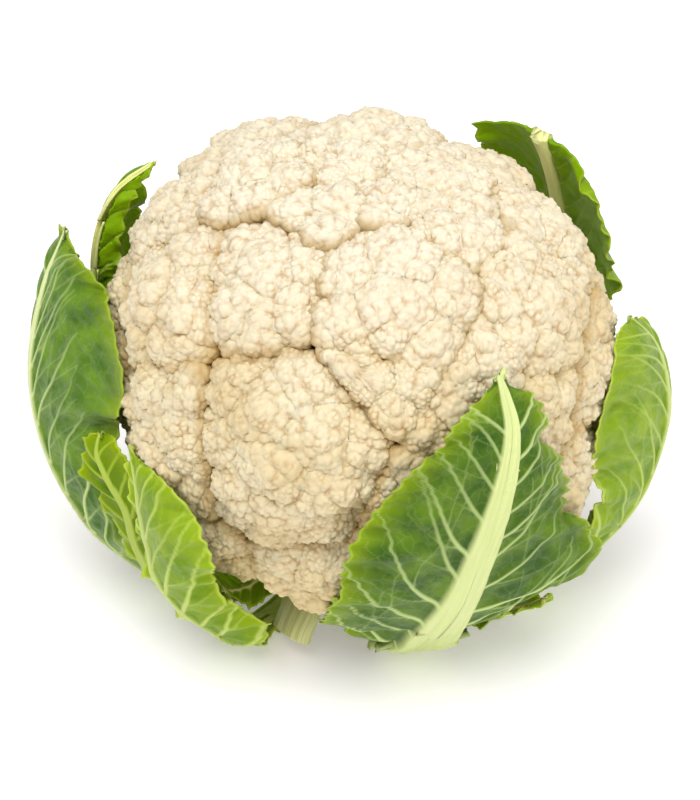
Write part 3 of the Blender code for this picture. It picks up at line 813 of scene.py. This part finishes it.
def makeLeaf(name, number):
    leaf = leaves[name]
    random = np.random.default_rng(40 + number)
    rows = np.array(leaf["rows"], float) / 1000
    length = arcLength(smoothPath(rows[:, 1], np.linspace(0, 1, 200))[0])[-1]
    widest = np.linalg.norm(rows[:, 2] - rows[:, 0], axis=1).max()
    step = leafShape["step"] * (leafShape["farStep"] if rows[3, 1, 1] > 0.02 else 1)
    step = step * 1
    share = np.linspace(0, 1, int(length / step))
    across = np.linspace(-1, 1, int(widest * 1.05 / step / 2) * 2 + 1)

    # rails: two margins and the midrib, and the midrib's own frame
    left, right = (smoothPath(rows[:, side], share)[0] for side in (0, 2))
    spine, along = smoothPath(rows[:, 1], share)
    outward = outwardOf(spine, along)
    if not leaf.get("blunt"):
        tip = leafShape["tipRound"]
        narrow = np.sqrt(1 - np.clip((share - 1 + tip) / tip, 0, 0.995) ** 2)[:, None]
        left, right = spine + (left - spine) * narrow, spine + (right - spine) * narrow
    grown = smoothStep(0.10, 0.26, share)

    # points across each half: midrib + (margin - midrib) |v| + bulge 4 |v| (1 - |v|) outwards
    v = np.abs(across)[None, :, None]
    margin = np.where(across[None, :, None] > 0, right[:, None], left[:, None])
    arm = margin - spine[:, None]
    width = np.linalg.norm(arm, axis=2)
    bulge = np.where(across > 0, leaf["bulges"][1], leaf["bulges"][0]) / 1000
    bulge = bulge * np.minimum(width / leafShape["bulgeWidth"], 1) * 4 * v[..., 0] * (1 - v[..., 0])
    points = spine[:, None] + arm * v + bulge[..., None] * outward[:, None]

    # flat places of the same points, across and along the midrib, as if the leaf were pressed
    arc = arcLength(spine)
    lengthwise = (arm * along[:, None]).sum(-1)
    sideways = np.sqrt(np.maximum(width**2 - lengthwise**2, 1e-9)) * np.sign(across)[None]
    flat = np.stack([sideways * v[..., 0], arc[:, None] + lengthwise * v[..., 0]], axis=-1)

    # margins: teeth, lobes and ruffles follow the length of each margin
    outAlongArm = unit(arm)
    normals = normalsTowards(points, outward)
    edge = {}
    for side, rail in ((-1, left), (1, right)):
        run = arcLength(rail)
        teeth = toothedLine(run, leaf["teeth"][0] / 1000, leaf["teeth"][1] / 1000, 0.6, random)
        for which, place, out, wide in leaf.get("lobes", ()):
            if which == side:
                teeth = teeth + out / 1000 * np.exp(-(((share - place) / wide) ** 2))
        ruffle = waves(run, leafShape["ruffleLengths"], random) * leaf["ruffle"] / 1000
        crinkle = waves(run, leafShape["crinkleLengths"], random) * leafShape["crinkle"]
        edge[side] = (teeth * grown, ruffle * grown, crinkle * grown)
    pick = (across > 0)[None]
    both = zip(edge[1], edge[-1])
    teeth, ruffle, crinkle = (np.where(pick, one[:, None], other[:, None]) for one, other in both)
    points = points + outAlongArm * (teeth * v[..., 0] ** 3)[..., None]
    lift = ruffle * v[..., 0] ** 2.2 + crinkle * v[..., 0] ** 5

    # midrib and veins stand out of the outer face; the blade is slack between them
    fields = veinField(flat.reshape(-1, 2), layVeins(leaf, arc[-1], random))
    shown, raised, apart = (field.reshape(width.shape) for field in fields)
    half = np.interp(share, leafShape["ribPlaces"], leaf["rib"])[:, None] / 1000
    away = np.abs(flat[..., 0]) / half
    ribbed = 1 - smoothStep(0.90, 1.06, away)
    stripes = np.sin(flat[..., 0] / half * 15) * leafShape["ribStripes"]
    stripes = stripes * ribbed * smoothStep(0.0015, 0.004, half)
    fade = smoothStep(1.0, 1.6, away)
    sideways, lengthwise = flat[..., 0], flat[..., 1]
    slack = np.sin(sideways * 520 + lengthwise * 260) * np.sin(lengthwise * 610 + sideways * 150)
    hollow = smoothStep(0.0, 0.0055, apart) * (leafShape["hollow"] + leafShape["slack"] * slack)
    lift = lift + raised * fade - hollow * fade * grown[:, None]
    lift = lift + half * leafShape["ribRaise"] * ribbed + stripes
    points = points + normals * lift[..., None]
    thickness = leafShape["blade"] * (1 - 0.45 * v[..., 0] ** 8)
    thickness = thickness + half * (leafShape["ribRaise"] + leafShape["ribDepth"]) * np.exp(-(away**2))
    points = clearOfHead(points, thickness[..., None] + leafShape["clearance"])
    points[..., 2] = np.maximum(points[..., 2], 0.0004)

    normals = normalsTowards(points, outward)
    inner = points - normals * thickness[..., None]
    inner[..., 2] = np.maximum(inner[..., 2], 0.0002)
    n, m = width.shape
    index = np.arange(n * m).reshape(n, m)
    loop = np.concatenate([index[0, :-1], index[:-1, -1], index[-1, :0:-1], index[:0:-1, 0]])
    following = np.roll(loop, -1)
    rim = np.stack([following, loop, loop + n * m, following + n * m], axis=1)
    outerQuads = gridQuads(n, m)
    innerQuads = (outerQuads + n * m)[:, ::-1]
    margins = v[..., 0] * np.ones((n, 1))
    toRim = (1 - margins) * width
    attributes = {
        "vein": np.concatenate([shown.ravel(), shown.ravel() * 0.8]),
        "rib": np.concatenate([ribbed.ravel(), ribbed.ravel()]),
        "rim": np.tile(np.exp(-toRim / leafShape["rimWidth"]).ravel(), 2),
        "inside": np.repeat([0.0, 1.0], n * m),
        "low": np.tile((1 - share[:, None] * np.ones(m)).ravel(), 2),
        "flat": np.tile(np.dstack([flat, np.zeros((n, m))]).reshape(-1, 3), (2, 1)),
    }
    everything = np.concatenate([points.reshape(-1, 3), inner.reshape(-1, 3)])
    polygons = [outerQuads, innerQuads, rim]
    piece = makePiece(name + "_leaf", everything, polygons, leafMaterials[leaf["finish"]], attributes)
    standFor(piece, "leaf_" + name)
    return 4 * n * m


# colours of each kind of leaf: deep and mid in the blade, bright near the margin and line along it,
# then veins, midrib and inner face
leafFinishes = {
    "deep": {
        "deep": (0.034, 0.095, 0.011), "mid": (0.115, 0.215, 0.016), "bright": (0.24, 0.35, 0.004),
        "vein": (0.54, 0.66, 0.25), "rib": (0.70, 0.77, 0.34), "ribLow": (0.50, 0.60, 0.17),
        "inner": (0.10, 0.20, 0.03), "margin": 0.75, "line": (0.36, 0.48, 0.05),
    },
    "dark": {
        "deep": (0.055, 0.140, 0.016), "mid": (0.150, 0.280, 0.020), "bright": (0.24, 0.34, 0.004),
        "vein": (0.54, 0.66, 0.25), "rib": (0.74, 0.80, 0.40), "ribLow": (0.46, 0.54, 0.16),
        "inner": (0.10, 0.20, 0.03), "margin": 0.75, "line": (0.36, 0.48, 0.05),
    },
    "young": {
        "deep": (0.145, 0.270, 0.009), "mid": (0.260, 0.385, 0.020), "bright": (0.29, 0.42, 0.006),
        "vein": (0.52, 0.64, 0.14), "rib": (0.56, 0.66, 0.20), "ribLow": (0.48, 0.58, 0.14),
        "inner": (0.22, 0.33, 0.04), "margin": 0.7, "line": (0.48, 0.60, 0.08),
    },
    "bright": {
        "deep": (0.08, 0.17, 0.001), "mid": (0.145, 0.25, 0.001), "bright": (0.25, 0.35, 0.002),
        "vein": (0.36, 0.48, 0.03), "rib": (0.42, 0.53, 0.08), "ribLow": (0.40, 0.50, 0.07),
        "inner": (0.12, 0.22, 0.01), "margin": 0.8, "line": (0.42, 0.52, 0.03),
    },
    # leaves that lie in shade: blade, rib and inner face lifted brighter as painted light, standing in
    # for the light they lack
    "shadeWithPaintedLight": {
        "deep": (0.075, 0.19, 0.002), "mid": (0.20, 0.34, 0.004), "bright": (0.26, 0.38, 0.006),
        "vein": (0.46, 0.60, 0.10), "rib": (0.97, 0.97, 0.42), "ribLow": (0.60, 0.70, 0.22),
        "inner": (0.23, 0.43, 0.002), "margin": 0.6, "line": (0.36, 0.48, 0.03),
    },
}
leafSurface = {
    "roughness": 0.42,
    "shine": 0.20,
    "shineTint": (0.80, 1.0, 0.30),
    "glow": 0.10,  # share of light that scatters inside
    "glowReach": 0.002,
    "netCells": 190.0,  # cells of the finest veins, per metre
    "netShare": 0.075,
    "netBend": 0.005,
    "patchScale": 70.0,
}


def leafMaterial(kind):
    finish = leafFinishes[kind]
    material, nodes, links, shader = newMaterial(kind + " leaf")
    flat = attributeOf(nodes, "flat").outputs["Vector"]
    vein, rib, rim, inside, low = (
        attributeOf(nodes, key).outputs["Fac"] for key in ("vein", "rib", "rim", "inside", "low"))
    patches = noiseOf(nodes, links, flat, leafSurface["patchScale"], 3)
    patches = rampOf(nodes, links, patches, 0.36, 0.64)
    colour = mixColours(nodes, links, patches, finish["deep"], finish["mid"])
    ragged = combine(nodes, links, "MULTIPLY", noiseOf(nodes, links, flat, 150, 3), 0.4)
    rimmed = combine(nodes, links, "ADD", rim, ragged)
    nearMargin = rampOf(nodes, links, rimmed, 0.35, 1.0, finish["margin"])
    colour = mixColours(nodes, links, nearMargin, colour, finish["bright"])
    colour = mixColours(nodes, links, rampOf(nodes, links, inside, 0, 1, 0.8), colour, finish["inner"])
    atMargin = rampOf(nodes, links, rim, 0.83, 0.93, 0.75)
    colour = mixColours(nodes, links, atMargin, colour, finish["line"])
    bent = nodes.new("ShaderNodeVectorMath")
    bent.operation = "MULTIPLY_ADD"
    links.new(noiseOf(nodes, links, flat, 260, 2).node.outputs["Color"], bent.inputs[0])
    bent.inputs[1].default_value = (leafSurface["netBend"],) * 3
    links.new(flat, bent.inputs[2])
    net = nodes.new("ShaderNodeTexVoronoi")
    net.feature = "DISTANCE_TO_EDGE"
    net.inputs["Scale"].default_value = leafSurface["netCells"]
    links.new(bent.outputs["Vector"], net.inputs["Vector"])
    threads = rampOf(nodes, links, net.outputs["Distance"], 0.08, 0.0, leafSurface["netShare"])
    colour = mixColours(nodes, links, threads, colour, finish["vein"])
    colour = mixColours(nodes, links, rampOf(nodes, links, vein, 0.20, 0.75), colour, finish["vein"])
    fibres = fibresOf(nodes, links, flat, (900.0, 45.0, 1.0), 2)
    base = rampOf(nodes, links, low, 0.60, 0.95)
    ribColour = mixColours(nodes, links, base, finish["rib"], finish["ribLow"])
    streaks = rampOf(nodes, links, fibres, 0.4, 0.7, 0.35)
    ribColour = mixColours(nodes, links, streaks, ribColour, finish["ribLow"])
    colour = mixColours(nodes, links, rib, colour, ribColour)
    links.new(colour, shader.inputs["Base Color"])
    setFlesh(shader, leafSurface, (0.5, 1.0, 0.15))
    shader.inputs["Specular IOR Level"].default_value = leafSurface["shine"]
    shader.inputs["Specular Tint"].default_value = (*leafSurface["shineTint"], 1.0)
    relief = combine(nodes, links, "ADD", rampOf(nodes, links, net.outputs["Distance"], 0.0, 0.35),
                     noiseOf(nodes, links, flat, 1500, 3))
    bumpOf(nodes, links, shader, relief, 0.30, 0.0004)
    return material


leafMaterials = {kind: leafMaterial(kind) for kind in leafFinishes}
total = sum(makeLeaf(name, number) for number, name in enumerate(leaves))
print("leaves grown:", len(leaves), "with", total, "triangles")


# Stalk and stub

stalkShape = {
    "heights": (0.0, 0.0012, 0.006, 0.030, 0.050, 0.068, 0.0885, 0.098),
    "radii": (0.0212, 0.0226, 0.0230, 0.0222, 0.0195, 0.0175, 0.0175, 0.024),
    "steps": 160,
    "rows": 110,
    "scars": 9,
    "scarTurn": 2.3999,  # the golden angle between one leaf and the next
    "scarFrom": 0.014,
    "scarRise": 0.004,
    "scarDepth": 0.0014,
    "ridge": 0.00035,
}
stub = {
    "path": ((-11, -27, 34), (-17, -34, 26), (-22, -40, 17), (-25.5, -44.5, 9)),
    "halfWidths": (6.0, 8.0, 9.5, 10.0),
    "halfThickness": 5.0,
    "rows": 80,
    "sides": 96,
    "ridges": 8,
    "ridge": 0.0003,
}
fleshFinish = {
    "pale": (0.74, 0.72, 0.34),
    "green": (0.52, 0.55, 0.18),
    "cut": (0.76, 0.64, 0.30),
    "cutDark": (0.50, 0.34, 0.12),
    "roughness": 0.45,
    "glow": 0.15,
    "glowReach": 0.003,
}


def fleshMaterial():
    material, nodes, links, shader = newMaterial("stalk flesh")
    where = nodes.new("ShaderNodeTexCoord").outputs["Object"]
    flat = attributeOf(nodes, "flat").outputs["Vector"]
    cut = attributeOf(nodes, "cut").outputs["Fac"]
    fibres = fibresOf(nodes, links, flat, (700.0, 40.0, 1.0), 3)
    colour = mixColours(nodes, links, rampOf(nodes, links, fibres, 0.35, 0.68), fleshFinish["green"],
                        fleshFinish["pale"])
    dried = rampOf(nodes, links, noiseOf(nodes, links, where, 420, 3), 0.42, 0.7)
    cutColour = mixColours(nodes, links, dried, fleshFinish["cut"], fleshFinish["cutDark"])
    colour = mixColours(nodes, links, cut, colour, cutColour)
    links.new(colour, shader.inputs["Base Color"])
    setFlesh(shader, fleshFinish, (0.8, 1.0, 0.4))
    relief = combine(nodes, links, "ADD", fibres, noiseOf(nodes, links, where, 1300, 3))
    bumpOf(nodes, links, shader, relief, 0.35, 0.0004)
    return material


def closedTube(name, rings, lengths, cutRows, material, node):
    # rings of points, closed at both ends by an even face; lengths run along it for the fibre pattern
    count, sides = rings.shape[:2]
    index = np.arange(count * sides).reshape(count, sides)
    wrapped = np.concatenate([index, index[:, :1]], axis=1)
    quads = np.stack([wrapped[:-1, :-1], wrapped[:-1, 1:], wrapped[1:, 1:], wrapped[1:, :-1]], axis=-1)
    girth = np.broadcast_to(np.arange(sides) / sides * 0.12, (count, sides))
    upAlong = np.broadcast_to(lengths[:, None], (count, sides))
    flat = np.stack([girth, upAlong, np.zeros((count, sides))], axis=-1)
    attributes = {"flat": flat.reshape(-1, 3), "cut": np.repeat(cutRows, sides)}
    polygons = [quads.reshape(-1, 4), index[:1, ::-1], index[-1:]]
    piece = makePiece(name, rings.reshape(-1, 3), polygons, material, attributes)
    standFor(piece, node)


def makeStalk(material):
    # a turned profile: radius(height) + uneven ridges + hollow scars where leaves were cut away; the
    # foot closes with shrinking rings of a slightly sunken cut face
    height = np.linspace(0, stalkShape["heights"][-1], stalkShape["rows"])
    radius = np.interp(height, stalkShape["heights"], stalkShape["radii"])[:, None]
    turn = evenTurns(stalkShape["steps"])[None]
    wobble = stalkShape["ridge"] * (np.sin(turn * 17 + height[:, None] * 60) + np.sin(turn * 5 + 1.3))
    scars = np.zeros((len(height), turn.shape[1]))
    for number in range(stalkShape["scars"]):
        centre = (number * stalkShape["scarTurn"]) % (2 * math.pi)
        level = stalkShape["scarFrom"] + stalkShape["scarRise"] * number
        around = np.angle(np.exp(1j * (turn - centre))) * 0.022 / 0.010
        upright = (height[:, None] - level) / 0.0035
        bowl = np.exp(-((around**2 + upright**2) ** 2))
        lip = np.exp(-((np.sqrt(around**2 + upright**2) - 1.15) ** 2) / 0.03)
        scars = scars - stalkShape["scarDepth"] * bowl + 0.0005 * lip
    body = radius + wobble + scars
    shrink = np.linspace(0.02, 1, 26)[:-1][:, None]
    foot = body[0][None] * shrink
    rings = np.concatenate([foot, body])
    levels = np.concatenate([0.0005 * (1 - shrink[:, 0] ** 2), height])
    levels = np.broadcast_to(levels[:, None], rings.shape)
    points = np.stack([rings * np.sin(turn), -rings * np.cos(turn), levels], axis=-1)
    cutRows = np.concatenate([np.ones(len(foot)), 1 - smoothStep(0.0, 0.0015, height)])
    lengths = np.concatenate([-0.02 * (1 - shrink[:, 0]), height])
    closedTube("cut_stalk", points, lengths, cutRows, material, "stalk")


def makeStub(material):
    # an oval section along a curved path, ridged lengthwise; the cut end closes with shrinking rings
    share = np.linspace(0, 1, stub["rows"])
    path, along = smoothPath(np.array(stub["path"]) / 1000, share)
    outward = outwardOf(path, along)
    side = np.cross(outward, along)
    places = np.linspace(0, 1, len(stub["halfWidths"]))
    wide = np.interp(share, places, stub["halfWidths"])[:, None] / 1000
    turn = evenTurns(stub["sides"])[None]
    ridges = stub["ridge"] * np.sin(turn * stub["ridges"]) ** 2
    thick = stub["halfThickness"] / 1000
    crossX = (wide + ridges) * np.sign(np.cos(turn)) * np.abs(np.cos(turn)) ** 0.8
    crossY = (thick + ridges) * np.sin(turn)
    rings = path[:, None] + crossX[..., None] * side[:, None] + crossY[..., None] * outward[:, None]
    shrink = np.linspace(1, 0.03, 16)[1:]
    dish = 0.0008 * (1 - shrink**2)
    face = path[-1] + (rings[-1] - path[-1])[None] * shrink[:, None, None]
    face = face - dish[:, None, None] * along[-1]
    lengths = arcLength(path)
    cutRows = np.concatenate([np.zeros(len(share) - 1), np.ones(1 + len(shrink))])
    lengths = np.concatenate([lengths, lengths[-1] + 0.01 * (1 - shrink)])
    closedTube("leaf_base", np.concatenate([rings, face]), lengths, cutRows, material, "leaf_stub")


flesh = fleshMaterial()
makeStalk(flesh)
makeStub(flesh)
print("stalk and stub made")


# Floor, light and camera

view = {
    "elevation": 38.0,
    "distance": 0.9,
    "span": 0.2856,  # height of the frame at the head's distance
    "aim": (-0.0039, 0.0196),  # frame's middle right of and above the head's middle
    "sensor": 36.0,
}


def addCamera():
    tilt = math.radians(view["elevation"])
    back = np.array((0.0, -math.cos(tilt), math.sin(tilt)))
    up = np.array((0.0, math.sin(tilt), math.cos(tilt)))
    aim = head["centre"] + np.array((view["aim"][0], 0, 0)) - up * view["aim"][1]
    data = bpy.data.cameras.new("camera")
    data.sensor_width = view["sensor"]
    data.lens = view["sensor"] * view["distance"] / view["span"]
    data.clip_end = 50
    camera = bpy.data.objects.new("camera", data)
    camera.location = aim + back * view["distance"]
    camera.rotation_euler = (math.pi / 2 - tilt, 0, 0)
    bpy.context.scene.collection.objects.link(camera)
    bpy.context.scene.camera = camera


studio = {
    "floor": (0.90, 0.883, 0.903),
    "floorHalf": 6.0,
    "floorGlow": 0.25,
    "sky": (1.0, 0.995, 0.985),
    "skyStrength": 0.50,
    # azimuth, elevation, strength and softness in degrees of each lamp
    "lamps": {"key": (-20, 72, 2.03, 38), "fill": (48, 40, 0.65, 60)},
}


def addFloor():
    half = studio["floorHalf"]
    corners = [(-half, -half, 0), (half, -half, 0), (half, half, 0), (-half, half, 0)]
    mesh = bpy.data.meshes.new("floor")
    mesh.from_pydata(corners, [], [(0, 1, 2, 3)])
    floor = bpy.data.objects.new("floor", mesh)
    material, _, _, shader = newMaterial("floor")
    shader.inputs["Base Color"].default_value = (*studio["floor"], 1)
    shader.inputs["Roughness"].default_value = 0.9
    shader.inputs["Specular IOR Level"].default_value = 0.1
    shader.inputs["Emission Color"].default_value = (*studio["floor"], 1)
    shader.inputs["Emission Strength"].default_value = studio["floorGlow"]
    mesh.materials.append(material)
    bpy.context.scene.collection.objects.link(floor)


def addLights():
    world = bpy.data.worlds.new("studio")
    world.use_nodes = True
    sky = world.node_tree.nodes["Background"]
    sky.inputs["Color"].default_value = (*studio["sky"], 1)
    sky.inputs["Strength"].default_value = studio["skyStrength"]
    bpy.context.scene.world = world
    for name, (azimuth, elevation, strength, softness) in studio["lamps"].items():
        lamp = bpy.data.lights.new(name, "SUN")
        lamp.energy = strength
        lamp.angle = math.radians(softness)
        light = bpy.data.objects.new(name, lamp)
        light.location = direction(azimuth, elevation)
        light.rotation_euler = (math.radians(90 - elevation), 0, math.radians(azimuth))
        bpy.context.scene.collection.objects.link(light)


addCamera()
addFloor()
addLights()
bpy.context.scene.view_settings.view_transform = "Standard"
print("studio set")
